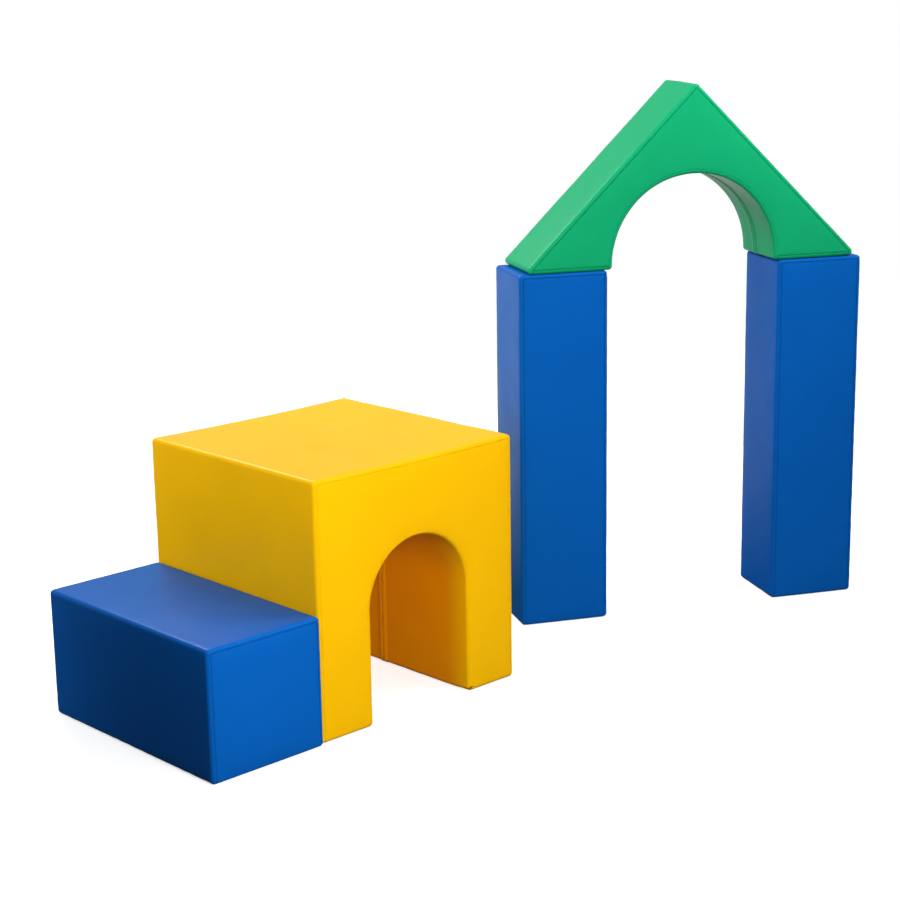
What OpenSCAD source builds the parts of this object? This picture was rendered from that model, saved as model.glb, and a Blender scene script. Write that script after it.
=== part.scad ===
// A set of soft play blocks: a tunnel block with a step at its side, and a gate of two columns and a gable.
// Each block is a foam core in a sewn vinyl cover. A front and a back panel, cut to the block's profile, are
// sewn to a band that runs round the profile and turns over its edges. The band is cut in strips, and one
// of them is split along its length by a zip, which hides under two folded lips.
// A block's own frame: x from its middle to the right, y from its front face backwards, z up from its base.
// The set's frame: millimetres, +Z up, the tunnel runs along Y, origin on the floor under the set's middle.

/* [Tunnel block] */
// Width of the tunnel block, across its arched front
tunnel_w = 590; // [500:10:800]
// Depth of the tunnel block, along the tunnel
tunnel_d = 590; // [450:10:900]
// Height of the tunnel block
tunnel_h = 590; // [500:10:800]
// Width of the tunnel's opening
tunnel_arch_w = 290; // [240:10:400]
// Height of the tunnel's opening at its crown
tunnel_arch_h = 410; // [320:10:480]

/* [Step block] */
// Width of the step block
step_w = 300; // [200:10:450]
// Length of the step block, along the tunnel's side
step_d = 590; // [300:10:900]
// Height of the step block
step_h = 295; // [200:5:450]

/* [Gate columns] */
// Width of each column, across the gate
column_w = 230; // [150:5:300]
// Depth of each column
column_d = 200; // [150:5:300]
// Height of each column
column_h = 900; // [600:10:1200]
// Clear space between the two columns
gate_span = 460; // [360:5:560]

/* [Gable] */
// Width of the gable at its base
gable_w = 900; // [800:10:1100]
// Height of the gable to its ridge
gable_h = 450; // [400:10:600]
// Depth of the gable
gable_d = 200; // [150:5:300]
// Width of the arch in the gable, a half circle over the folds at its feet
gable_arch_w = 435; // [360:5:500]
// Distance of the gable's zip behind its front face
gable_zip_y = 120; // [60:5:120]

/* [Covers] */
// Thickness of the vinyl
vinyl_t = 1; // [0.6:0.1:1.4]
// Radius at which the band turns over the front and back edges
edge_r = 9; // [7:0.5:14]
// Width of the groove along each seam
seam_gap = 1; // [0.5:0.1:1.2]
// Height that the front and back panels crown over the foam
panel_crown = 4; // [1:0.5:8]
// Space between the foam and its cover
foam_fit = 0.3; // [0.2:0.1:0.6]

/* [Zips] */
// Distance of each end of a zip from the end of its strip
zip_lift = 40; // [30:5:80]
// Width of the slit between the two lips over a zip
slit_w = 1.5; // [1:0.1:3]
// Width of each folded lip
lip_w = 10; // [6:0.5:16]
// Height of each folded lip over the strip
lip_rise = 1; // [0.6:0.1:1.4]
// Width of each zip tape beyond its coil
tape_w = 14; // [12:1:20]
// Thickness of the zip tape
tape_t = 0.6; // [0.4:0.1:1]
// Width of each coil
coil_w = 3; // [2:0.5:5]
// Thickness of each coil
coil_t = 2.4; // [2:0.2:4]
// Space between the two coils, for the post of the slider
coil_gap = 2; // [1.6:0.2:3]
// Length of the slider
slider_l = 16; // [10:1:24]
// Thickness of the slider's plates and walls
slider_t = 1.2; // [0.8:0.1:1.8]
// Space round the moving slider and the tapes
zip_fit = 0.3; // [0.2:0.1:0.5]

/* [Arrangement] */
// Distance of the step's front before the tunnel's front
step_before = 9; // [0:1:100]
// Distance of the gate's near corner to the right of the tunnel block
gate_right = 270; // [100:1:600]
// Distance of the gate's near corner behind the tunnel's front
gate_behind = 235; // [0:1:500]
// Turn of the gate towards the front, in degrees
gate_turn = 27.5; // [0:0.5:45]
// Space left between blocks that stand on or against each other
touch_gap = 0.3; // [0.2:0.1:1]

/* [Hidden] */

yellow = "#F6C707";
blue = "#1461BC";
green = "#1DB97C";
foam = "#EFE9DA";
tape_grey = "#3A3D42";
coil_grey = "#24262A";
slider_metal = "#B9BCC0";

// Steps of a rounded edge, of a panel along each side and of a panel across
arc_steps = 6;
side_steps = 14;
across_steps = 6;
$fn = 96;

// Overrun of every cut
cut_over = 1;
// Radius at which the band folds over a corner of the profile, about the corner of the panel inside it
fold_r = edge_r + seam_gap;
// Inset of the foam from the cover's outer face, and how far it is cut off under a fold and a rounded edge
foam_inset = vinyl_t + foam_fit;
foam_fold_cut = fold_r - foam_inset;
bevel_share = 0.65;
foam_bevel = bevel_share * fold_r;

// Sizes of the three plain blocks as width, depth and height
step_size = [step_w, step_d, step_h];
column_size = [column_w, column_d, column_h];
// Corners of the profiles, anticlockwise from the right foot, seen from the front
function box_corners(w, h) = [[w / 2, 0], [w / 2, h], [-w / 2, h], [-w / 2, 0]];
tunnel_corners = box_corners(tunnel_w, tunnel_h);
gable_corners = [[gable_w / 2, 0], [0, gable_h], [-gable_w / 2, 0]];
tunnel_spring = tunnel_arch_h - tunnel_arch_w / 2;
gable_spring = fold_r;
// The zips lie along the middle of their strips, apart from the gable's
tunnel_zip_y = tunnel_d / 2;

// Levels of a zip under the outer face of its strip
tape_top = vinyl_t + zip_fit;
coil_top = tape_top + slider_t + zip_fit;
coil_bottom = coil_top + coil_t;
coil_mid = (coil_top + coil_bottom) / 2;
groove_depth = coil_bottom + slider_t + 2 * zip_fit;
// Places across a zip, from its middle
coil_in = coil_gap / 2;
coil_out = coil_in + coil_w;
slider_half = coil_out + zip_fit + slider_t;
ramp_in = slider_half + zip_fit;
ramp_out = ramp_in + coil_mid - tape_top;
tape_out = coil_out + tape_w;
groove_half = tape_out + zip_fit;

// Places of the gate and the step, and the middle of the whole set on the floor
gate_w = 2 * column_w + gate_span;
gate_middle = [
    tunnel_w / 2 + gate_right + cos(gate_turn) * gate_w / 2 + sin(gate_turn) * column_d / 2,
    gate_behind - sin(gate_turn) * gate_w / 2 + cos(gate_turn) * column_d / 2,
];
gate_reach = [
    cos(gate_turn) * (gate_w / 2 - edge_r) + sin(gate_turn) * (column_d / 2 - edge_r) + edge_r,
    sin(gate_turn) * (gate_w / 2 - edge_r) + cos(gate_turn) * (column_d / 2 - edge_r) + edge_r,
];
step_middle = -(tunnel_w + step_w) / 2 - lip_rise - touch_gap;
set_left = step_middle - step_w / 2;
set_right = gate_middle[0] + gate_reach[0];
set_front = min(min(0, -step_before) - panel_crown, gate_middle[1] - gate_reach[1]);
set_back = max(max(tunnel_d, step_d - step_before) + panel_crown, gate_middle[1] + gate_reach[1]);
set_middle = [(set_left + set_right) / 2, (set_front + set_back) / 2];

// Heading of the way from p to q, anticlockwise from the right as seen from the front
function heading(p, q) = atan2(q[1] - p[1], q[0] - p[0]);
// Left turn from one heading to another
function left_turn(from, to) = (to - from + 360) % 360;
function unit_along(a) = [cos(a), sin(a)];
function unit_left(a) = [-sin(a), cos(a)];
// Length that a fold takes from each side of its corner, and the point that it turns about
function fold_back(from, to) = fold_r * tan(left_turn(from, to) / 2);
function fold_centre(p, from, to) = p - fold_back(from, to) * unit_along(from) + fold_r * unit_left(from);
// Headings of the side before and the side after corner i of a closed profile
function side_before(p, i) = heading(p[(i + len(p) - 1) % len(p)], p[i]);
function side_after(p, i) = heading(p[i], p[(i + 1) % len(p)]);
// Closed profile moved inwards by e
function inset(p, e) = [
    for (i = [0 : len(p) - 1])
        let (a = unit_left(side_before(p, i)), b = unit_left(side_after(p, i)))
            p[i] + e * (a + b) / (1 + a * b)
];
// Closed profile moved inwards by e, with its corners cut off inside the folds of the cover
function bevelled(p, e) = let (q = inset(p, e)) [
    for (i = [0 : len(p) - 1])
        let (
            before = side_before(p, i),
            after = side_after(p, i),
            cut = (fold_r - e) * tan(left_turn(before, after) / 2)
        )
            each [q[i] - cut * unit_along(before), q[i] + cut * unit_along(after)]
];
// Angle at which an arch of radius r reaches the height z
function height_angle(r, spring, z) = spring < z ? asin((z - spring) / r) : 0;

// Points along a line of corners, side_steps to each side
function side_points(p) = [
    for (k = [0 : len(p) - 2])
        for (j = [0 : side_steps - 1])
            p[k] + (p[k + 1] - p[k]) * j / side_steps,
    p[len(p) - 1]
];
// The same number of points along an arch, from its right foot at height z to its left foot
function arch_points(r, spring, z, count) = let (
    start = height_angle(r, spring, z),
    jamb = max(0, spring - z),
    curve = r * (180 - 2 * start) * PI / 180,
    total = 2 * jamb + curve
) [
    for (i = [0 : count - 1])
        let (s = total * i / (count - 1), a = start + (s - jamb) / r * 180 / PI)
            s < jamb ? [r, z + s] : s > jamb + curve ? [-r, z + total - s] : [r * cos(a), spring + r * sin(a)]
];
// Swell of a panel at the share s of its way, none at both ends
function swell(s, power) = 1 - pow(abs(2 * s - 1), power);

// The sections below are drawn as [outwards, backwards] and swept along the band by these modules
module run(p, q) {
    translate([p[0], 0, p[1]])
        rotate([0, 90 - heading(p, q), 0])
            linear_extrude(norm(q - p)) children();
}
// A fold that ends where the next run starts
module bend(centre, from, to) {
    translate([centre[0], 0, centre[1]])
        rotate([0, 90 - to, 0])
            rotate([-90, 0, 0])
                rotate_extrude(angle = left_turn(from, to))
                    translate([fold_r, 0]) children();
}
// A fold that starts where the last run ends
module last_bend(centre, from, to) {
    translate([centre[0], 0, centre[1]])
        rotate([0, 90 - from, 0])
            rotate([90, 0, 0])
                rotate_extrude(angle = left_turn(from, to))
                    translate([fold_r, 0]) mirror([0, 1]) children();
}
module curve(r, spring, from, to) {
    translate([0, 0, spring])
        rotate([0, -to, 0])
            rotate([-90, 0, 0])
                rotate_extrude(angle = to - from)
                    translate([r, 0]) mirror([1, 0]) children();
}
// Along a line of corners, folding at each, with the headings before the first and after the last
// A second section, where one is given, is for the folds
module band(corners, before, after) {
    last = len(corners) - 1;
    sides = [before, for (i = [0 : last - 1]) heading(corners[i], corners[i + 1]), after];
    for (i = [0 : last - 1])
        if (left_turn(sides[i], sides[i + 1]) > 0)
            bend(fold_centre(corners[i], sides[i], sides[i + 1]), sides[i], sides[i + 1])
                children($children - 1);
    if (left_turn(sides[last], after) > 0)
        last_bend(fold_centre(corners[last], sides[last], after), sides[last], after) children($children - 1);
    for (i = [0 : last - 1])
        run(
            corners[i] + fold_back(sides[i], sides[i + 1]) * unit_along(sides[i + 1]),
            corners[i + 1] - fold_back(sides[i + 1], sides[i + 2]) * unit_along(sides[i + 1])
        ) children(0);
}
// Round an arch from the fold at its left foot to the fold at its right foot
// A second section, where one is given, is for the folds
module lining(w, spring) {
    r = w / 2;
    bend([-r - fold_r, fold_r], 0, 90) children($children - 1);
    last_bend([r + fold_r, fold_r], 270, 360) children($children - 1);
    curve(r, spring, 0, 180) children(0);
    jambs(r, spring, fold_r) children(0);
}
// Up both sides of an arch from the height z to its spring
module jambs(r, spring, z) {
    if (spring > z) {
        run([-r, z], [-r, spring]) children();
        run([r, spring], [r, z]) children();
    }
}
// Round an arch between the two ends of its zip
module zip_round(w, spring, lift) {
    a = height_angle(w / 2, spring, lift);
    curve(w / 2, spring, a, 180 - a) children();
    jambs(w / 2, spring, lift) children();
}
// Along the base between two folds, clear of the seams
module sole(from, to) {
    run([from + seam_gap, 0], [to - seam_gap, 0]) children();
}

// Sections of the cover
function edge_arc(y, r, from, to) = [
    for (k = [0 : arc_steps])
        let (a = from + (to - from) * k / arc_steps)
            [r * cos(a) - edge_r, y + r * sin(a)]
];
module band_section(d) {
    polygon(concat(
        edge_arc(edge_r, edge_r, -90, 0),
        edge_arc(d - edge_r, edge_r, 0, 90),
        edge_arc(d - edge_r, edge_r - vinyl_t, 90, 0),
        edge_arc(edge_r, edge_r - vinyl_t, 0, -90)
    ));
}
// Strip from the front seam to the zip at y, with its lip folded over
module front_strip_section(y) {
    end = y - slit_w / 2;
    nose = (vinyl_t + lip_rise) / 2;
    polygon(concat(
        edge_arc(edge_r, edge_r, -90, 0),
        [[0, end - lip_w], [lip_rise, end - lip_w + lip_rise]],
        [for (k = [0 : arc_steps]) let (a = 180 * k / arc_steps)
            [nose * cos(a) + nose - vinyl_t, end - nose + nose * sin(a)]],
        edge_arc(edge_r, edge_r - vinyl_t, 0, -90)
    ));
}
module back_strip_section(d, y) {
    translate([0, d]) mirror([0, 1]) front_strip_section(d - y);
}
// The same strips in a fold, where the lip is sewn down flat
module front_fold_section(y) {
    end = y - (slit_w + vinyl_t + lip_rise) / 2;
    polygon(concat(
        edge_arc(edge_r, edge_r, -90, 0),
        [[0, end], [-vinyl_t, end]],
        edge_arc(edge_r, edge_r - vinyl_t, 0, -90)
    ));
}
module back_fold_section(d, y) {
    translate([0, d]) mirror([0, 1]) front_fold_section(d - y);
}

// Sections of a zip, about its middle at y
module both_sides(y) {
    translate([0, y]) {
        children();
        mirror([0, 1]) children();
    }
}
module tape_section(y) {
    both_sides(y) polygon([
        [tape_t / 2 - coil_mid, coil_out + zip_fit], [tape_t / 2 - coil_mid, ramp_in],
        [-tape_top, ramp_out], [-tape_top, tape_out],
        [-tape_top - tape_t, tape_out], [-tape_top - tape_t, ramp_out],
        [-coil_mid - tape_t / 2, ramp_in], [-coil_mid - tape_t / 2, coil_out + zip_fit],
    ]);
}
module coil_section(y) {
    both_sides(y) translate([-coil_bottom, coil_in]) square([coil_t, coil_w]);
}
// Two plates joined by a post between the coils, each with two walls that leave a slot for the tape
module slider_section(y) {
    wall = (coil_t - tape_t) / 2 + slider_t;
    bottom = coil_bottom + zip_fit + slider_t;
    for (level = [-tape_top - slider_t, -bottom])
        translate([level, y - slider_half]) square([slider_t, 2 * slider_half]);
    translate([-bottom, y - coil_in + zip_fit]) square([bottom - tape_top, 2 * (coil_in - zip_fit)]);
    both_sides(y)
        for (level = [-tape_top - wall, -bottom])
            translate([level, slider_half - slider_t]) square([wall, slider_t]);
}
module groove_section(y) {
    translate([-groove_depth, y - groove_half]) square([groove_depth + cut_over, 2 * groove_half]);
}

// Front panel between the lines of points a on its right and b on its left, swelling towards the front
module crowned_panel(a, b) {
    along = len(a) - 1;
    row = across_steps + 1;
    inner = len(a) * row;
    function height(i, j) = panel_crown * swell(i / along, 4) * swell(j / across_steps, 2);
    function across(i, j) = a[i] + (b[i] - a[i]) * j / across_steps;
    function place(i, j, y) = let (p = across(i, j)) [p[0], y - height(i, j), p[1]];
    function at(i, j) = i * row + j;
    points = [for (y = [0, vinyl_t]) for (i = [0 : along]) for (j = [0 : across_steps]) place(i, j, y)];
    cells = [for (i = [0 : along - 1]) for (j = [0 : across_steps - 1])
        [at(i, j), at(i, j + 1), at(i + 1, j + 1), at(i + 1, j)]];
    ends = [for (j = [0 : across_steps - 1]) each [
        [at(0, j + 1), at(0, j), inner + at(0, j), inner + at(0, j + 1)],
        [at(along, j), at(along, j + 1), inner + at(along, j + 1), inner + at(along, j)],
    ]];
    sides = [for (i = [0 : along - 1]) each [
        [at(i, 0), at(i + 1, 0), inner + at(i + 1, 0), inner + at(i, 0)],
        [at(i + 1, across_steps), at(i, across_steps),
            inner + at(i, across_steps), inner + at(i + 1, across_steps)],
    ]];
    polyhedron(points, [
        for (c = cells) each [[c[0], c[1], c[2]], [c[0], c[2], c[3]]],
        for (c = cells) let (d = [for (k = c) inner + k]) each [[d[2], d[1], d[0]], [d[3], d[2], d[0]]],
        each ends,
        each sides,
    ]);
}
module arched_panel(corners, w, spring) {
    outer = side_points(inset(corners, fold_r));
    crowned_panel(outer, arch_points(w / 2 + fold_r, spring, fold_r, len(outer)));
}
module box_panel(size) {
    c = inset(box_corners(size[0], size[2]), fold_r);
    crowned_panel(side_points([c[0], c[1]]), side_points([c[3], c[2]]));
}
// The front panel's twin on the back face of a block of depth d
module to_back(d) {
    translate([0, d, 0]) mirror([0, 1, 0]) children();
}

// Foam, cut to the profile and bevelled where the cover rounds its edges
module slab(p, from, to) {
    translate([0, to, 0]) rotate([90, 0, 0]) linear_extrude(to - from) polygon(p);
}
module foam_block(corners, d) {
    edge = foam_inset + foam_bevel;
    hull() {
        slab(bevelled(corners, foam_inset), edge, d - edge);
        slab(bevelled(corners, edge), foam_inset, d - foam_inset);
    }
}
// The space of an arch, wider by the foam's inset and flared at its feet
module arch_cut(w, spring, d) {
    half = w / 2 + foam_inset;
    flare = foam_fold_cut + cut_over;
    translate([0, d + cut_over, 0]) rotate([90, 0, 0]) linear_extrude(d + 2 * cut_over) {
        translate([0, spring]) circle(half);
        translate([-half, -cut_over]) square([2 * half, spring + cut_over]);
        polygon([
            [-half - flare, foam_inset - cut_over], [half + flare, foam_inset - cut_over],
            [half - cut_over, foam_inset + flare], [cut_over - half, foam_inset + flare],
        ]);
    }
}
module edge_cut_section() {
    polygon([
        [-foam_inset - foam_bevel - cut_over, foam_inset - cut_over],
        [cut_over - foam_inset, foam_inset - cut_over],
        [cut_over - foam_inset, foam_inset + foam_bevel + cut_over],
    ]);
}
module arched_foam(corners, d, w, spring, zip_y) {
    difference() {
        foam_block(corners, d);
        arch_cut(w, spring, d);
        lining(w, spring) edge_cut_section();
        lining(w, spring) translate([0, d]) mirror([0, 1]) edge_cut_section();
        zip_round(w, spring, zip_lift - zip_fit) groove_section(zip_y);
    }
}
module box_foam(size) {
    difference() {
        foam_block(box_corners(size[0], size[2]), size[1]);
        up_zip(size, zip_lift - zip_fit) groove_section(size[1] / 2);
    }
}

// Up the right side of a plain block between the two ends of its zip
module up_zip(size, lift) {
    run([size[0] / 2, lift], [size[0] / 2, size[2] - lift]) children();
}
// From under the right side of a plain block up to the seam below its top, with a second section for the fold
module up_right(size) {
    band([[size[0] / 2, 0], [size[0] / 2, size[2] - fold_r - seam_gap]], 0, 90) {
        children(0);
        children(1);
    }
}
module front_strip(size) {
    up_right(size) {
        front_strip_section(size[1] / 2);
        front_fold_section(size[1] / 2);
    }
}
module back_strip(size) {
    up_right(size) {
        back_strip_section(size[1], size[1] / 2);
        back_fold_section(size[1], size[1] / 2);
    }
}
// The two halves of an arch's lining
module front_lining(w, spring, y) {
    lining(w, spring) {
        front_strip_section(y);
        front_fold_section(y);
    }
}
module back_lining(w, spring, d, y) {
    lining(w, spring) {
        back_strip_section(d, y);
        back_fold_section(d, y);
    }
}
// Over the top of a plain block and down its left side
module over_left(size) {
    c = box_corners(size[0], size[2]);
    band([c[1], c[2], c[3]], 90, 360) children();
}
module box_sole(size) {
    sole(fold_r - size[0] / 2, size[0] / 2 - fold_r) band_section(size[1]);
}
// The slider rests at the foot of its zip
module box_slider(size) {
    foot = zip_lift + zip_fit;
    run([size[0] / 2, foot], [size[0] / 2, foot + slider_l]) slider_section(size[1] / 2);
}

// Places of the blocks in the set
module at_tunnel() {
    translate([-set_middle[0], -set_middle[1], 0]) children();
}
module at_step() {
    at_tunnel() translate([step_middle, -step_before, 0]) children();
}
module at_gate() {
    at_tunnel() translate([gate_middle[0], gate_middle[1], 0]) rotate([0, 0, -gate_turn]) children();
}
module at_column(side) {
    at_gate() translate([side * (gate_span + column_w) / 2, -column_d / 2, 0]) children();
}
module at_left_column() {
    at_column(-1) children();
}
module at_right_column() {
    at_column(1) children();
}
module at_gable() {
    at_gate() translate([0, -gable_d / 2, column_h + touch_gap]) children();
}

// Tunnel block
tunnel_foot = tunnel_arch_w / 2 + fold_r;
module tunnel_core() color(foam) at_tunnel()
    arched_foam(tunnel_corners, tunnel_d, tunnel_arch_w, tunnel_spring, tunnel_zip_y);
module tunnel_front_panel() color(yellow) at_tunnel()
    arched_panel(tunnel_corners, tunnel_arch_w, tunnel_spring);
module tunnel_back_panel() color(yellow) at_tunnel()
    to_back(tunnel_d) arched_panel(tunnel_corners, tunnel_arch_w, tunnel_spring);
module tunnel_wrap() color(yellow) at_tunnel() band(tunnel_corners, 0, 360) band_section(tunnel_d);
module tunnel_lining_front() color(yellow) at_tunnel()
    front_lining(tunnel_arch_w, tunnel_spring, tunnel_zip_y);
module tunnel_lining_back() color(yellow) at_tunnel()
    back_lining(tunnel_arch_w, tunnel_spring, tunnel_d, tunnel_zip_y);
module tunnel_left_sole() color(yellow) at_tunnel()
    sole(fold_r - tunnel_w / 2, -tunnel_foot) band_section(tunnel_d);
module tunnel_right_sole() color(yellow) at_tunnel()
    sole(tunnel_foot, tunnel_w / 2 - fold_r) band_section(tunnel_d);
module tunnel_zip_tapes() color(tape_grey) at_tunnel()
    zip_round(tunnel_arch_w, tunnel_spring, zip_lift) tape_section(tunnel_zip_y);
module tunnel_zip_coils() color(coil_grey) at_tunnel()
    zip_round(tunnel_arch_w, tunnel_spring, zip_lift) coil_section(tunnel_zip_y);
module tunnel_zip_slider() color(slider_metal) at_tunnel()
    run([tunnel_arch_w / 2, zip_lift + zip_fit + slider_l], [tunnel_arch_w / 2, zip_lift + zip_fit])
        slider_section(tunnel_zip_y);

// Step block
module step_core() color(foam) at_step() box_foam(step_size);
module step_front_panel() color(blue) at_step() box_panel(step_size);
module step_back_panel() color(blue) at_step() to_back(step_d) box_panel(step_size);
module step_wrap() color(blue) at_step() over_left(step_size) band_section(step_d);
module step_zip_strip_front() color(blue) at_step() front_strip(step_size);
module step_zip_strip_back() color(blue) at_step() back_strip(step_size);
module step_sole() color(blue) at_step() box_sole(step_size);
module step_zip_tapes() color(tape_grey) at_step() up_zip(step_size, zip_lift) tape_section(step_d / 2);
module step_zip_coils() color(coil_grey) at_step() up_zip(step_size, zip_lift) coil_section(step_d / 2);
module step_zip_slider() color(slider_metal) at_step() box_slider(step_size);

// The two columns of the gate, which are alike
module column_front_panel() color(blue) box_panel(column_size);
module column_back_panel() color(blue) to_back(column_d) box_panel(column_size);
module column_wrap() color(blue) over_left(column_size) band_section(column_d);
module column_zip_strip_front() color(blue) front_strip(column_size);
module column_zip_strip_back() color(blue) back_strip(column_size);
module column_sole() color(blue) box_sole(column_size);
module column_core() color(foam) box_foam(column_size);
module column_zip_tapes() color(tape_grey) up_zip(column_size, zip_lift) tape_section(column_d / 2);
module column_zip_coils() color(coil_grey) up_zip(column_size, zip_lift) coil_section(column_d / 2);
module column_zip_slider() color(slider_metal) box_slider(column_size);

// Gable
gable_foot = gable_arch_w / 2 + fold_r;
gable_slope = heading(gable_corners[0], gable_corners[1]);
gable_slope_l = norm(gable_corners[1] - gable_corners[0]);
gable_tip = gable_w / 2 - fold_back(0, gable_slope);
module gable_core() color(foam) at_gable()
    arched_foam(gable_corners, gable_d, gable_arch_w, gable_spring, gable_zip_y);
module gable_front_panel() color(green) at_gable()
    arched_panel(gable_corners, gable_arch_w, gable_spring);
module gable_back_panel() color(green) at_gable()
    to_back(gable_d) arched_panel(gable_corners, gable_arch_w, gable_spring);
module gable_roof_strip() color(green) at_gable() {
    half_roof();
    mirror([1, 0, 0]) half_roof();
}
// From the right tip up to the middle of the ridge, drawn along x to the ridge and tilted to the slope
module half_roof() {
    ridge_turn = 2 * gable_slope - 180;
    intersection() {
        translate([0, 0, gable_h]) rotate([0, -gable_slope, 0])
            band([[-gable_slope_l, 0], [0, 0]], -gable_slope, ridge_turn) band_section(gable_d);
        translate([0, -cut_over, -cut_over])
            cube([gable_w, gable_d + 2 * cut_over, gable_h + 2 * cut_over]);
    }
}
module gable_lining_front() color(green) at_gable()
    front_lining(gable_arch_w, gable_spring, gable_zip_y);
module gable_lining_back() color(green) at_gable()
    back_lining(gable_arch_w, gable_spring, gable_d, gable_zip_y);
module gable_left_sole() color(green) at_gable() sole(-gable_tip, -gable_foot) band_section(gable_d);
module gable_right_sole() color(green) at_gable() sole(gable_foot, gable_tip) band_section(gable_d);
module gable_zip_tapes() color(tape_grey) at_gable()
    zip_round(gable_arch_w, gable_spring, zip_lift) tape_section(gable_zip_y);
module gable_zip_coils() color(coil_grey) at_gable()
    zip_round(gable_arch_w, gable_spring, zip_lift) coil_section(gable_zip_y);
// The slider follows the arch, so its plates are curved with it
module gable_zip_slider() color(slider_metal) at_gable() {
    r = gable_arch_w / 2;
    start = height_angle(r, gable_spring, zip_lift + zip_fit);
    curve(r, gable_spring, start, start + slider_l / r * 180 / PI) slider_section(gable_zip_y);
}

tunnel_core();
tunnel_front_panel();
tunnel_back_panel();
tunnel_wrap();
tunnel_lining_front();
tunnel_lining_back();
tunnel_left_sole();
tunnel_right_sole();
tunnel_zip_tapes();
tunnel_zip_coils();
tunnel_zip_slider();

step_core();
step_front_panel();
step_back_panel();
step_wrap();
step_zip_strip_front();
step_zip_strip_back();
step_sole();
step_zip_tapes();
step_zip_coils();
step_zip_slider();

at_left_column() column_core();  // left_column_core
at_left_column() column_front_panel();  // left_column_front_panel
at_left_column() column_back_panel();  // left_column_back_panel
at_left_column() column_wrap();  // left_column_wrap
at_left_column() column_zip_strip_front();  // left_column_zip_strip_front
at_left_column() column_zip_strip_back();  // left_column_zip_strip_back
at_left_column() column_sole();  // left_column_sole
at_left_column() column_zip_tapes();  // left_column_zip_tapes
at_left_column() column_zip_coils();  // left_column_zip_coils
at_left_column() column_zip_slider();  // left_column_zip_slider

at_right_column() column_core();  // right_column_core
at_right_column() column_front_panel();  // right_column_front_panel
at_right_column() column_back_panel();  // right_column_back_panel
at_right_column() column_wrap();  // right_column_wrap
at_right_column() column_zip_strip_front();  // right_column_zip_strip_front
at_right_column() column_zip_strip_back();  // right_column_zip_strip_back
at_right_column() column_sole();  // right_column_sole
at_right_column() column_zip_tapes();  // right_column_zip_tapes
at_right_column() column_zip_coils();  // right_column_zip_coils
at_right_column() column_zip_slider();  // right_column_zip_slider

gable_core();
gable_front_panel();
gable_back_panel();
gable_roof_strip();
gable_lining_front();
gable_lining_back();
gable_left_sole();
gable_right_sole();
gable_zip_tapes();
gable_zip_coils();
gable_zip_slider();
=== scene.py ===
"""Looks of a set of soft play blocks: a tunnel, a step at its side, and a gate of two columns and a gable.

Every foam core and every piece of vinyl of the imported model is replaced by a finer, softer one in the same
place. Lengths are millimetres until a mesh is made. A block's own frame is x from its middle to the right, y
from its front face backwards and z up from its base, as in the part's source.
"""

import math
from collections import namedtuple

import bmesh
import bpy
import numpy as np
from mathutils import Matrix, Vector


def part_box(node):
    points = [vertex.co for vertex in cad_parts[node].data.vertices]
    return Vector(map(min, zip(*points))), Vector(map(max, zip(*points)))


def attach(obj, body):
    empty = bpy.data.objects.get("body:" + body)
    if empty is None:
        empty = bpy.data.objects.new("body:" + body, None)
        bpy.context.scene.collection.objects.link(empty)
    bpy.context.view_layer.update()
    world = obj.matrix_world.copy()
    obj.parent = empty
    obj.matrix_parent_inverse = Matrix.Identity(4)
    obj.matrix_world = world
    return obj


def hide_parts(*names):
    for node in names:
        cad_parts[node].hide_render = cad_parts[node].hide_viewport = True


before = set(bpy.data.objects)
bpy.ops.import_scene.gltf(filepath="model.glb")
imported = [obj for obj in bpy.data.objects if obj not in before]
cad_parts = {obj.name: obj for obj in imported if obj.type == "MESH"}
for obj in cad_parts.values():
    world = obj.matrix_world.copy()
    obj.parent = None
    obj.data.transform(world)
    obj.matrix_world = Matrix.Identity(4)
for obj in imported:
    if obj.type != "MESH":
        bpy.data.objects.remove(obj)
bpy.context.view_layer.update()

MM = 0.001

BODIES = ("tunnel", "step", "left_column", "right_column", "gable")
HALVES = (("front", True), ("back", False))

# Sizes of the blocks, as in the part's source
TUNNEL = (590, 590, 590)
TUNNEL_ARCH_W = 290
TUNNEL_ARCH_H = 410
STEP = (300, 590, 295)
COLUMN = (230, 200, 900)
GATE_SPAN = 460
GABLE = (900, 200, 450)
GABLE_ARCH_W = 435
GABLE_ZIP_Y = 120
EDGE_R = 9
SEAM_GAP = 1
FOLD_R = EDGE_R + SEAM_GAP
VINYL_T = 1
ZIP_LIFT = 40
SLIT_W = 1.5
LIP_W = 10
STEP_BEFORE = 9
GATE_RIGHT = 270
GATE_BEHIND = 235
GATE_TURN = 27.5
TOUCH_GAP = 0.3
STEP_GAP = 1.3

# Crowns: how far the middle of a face stands out, or sinks in where it is below zero
PANEL_CROWN = 4
ARCH_CROWN = 2
TUNNEL_CROWNS = {"right": 1.5, "top": 1.0, "left": -0.8}
STEP_CROWNS = {"top": 1.0, "left": 1.5, "right": -0.8}
COLUMN_CROWNS = {"top": -0.8, "left": 1.2, "right": 1.2}
GABLE_CROWN = 1.2
CROWN_POWER = 4
LONG_CROWN_POWER = 6
CROWN_START = 12

# Grooves and lips at the seams
LIP_CLOSE = 0.4
PANEL_IN = FOLD_R - LIP_CLOSE
GROOVE_DEPTH = 1.0
GROOVE_REACH = 1.8
ARCH_GROOVE_EASE = 1.2
FOOT_EASE = 4
SEAM_FAR = 80.0
NO_SEAM = 1000.0

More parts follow.
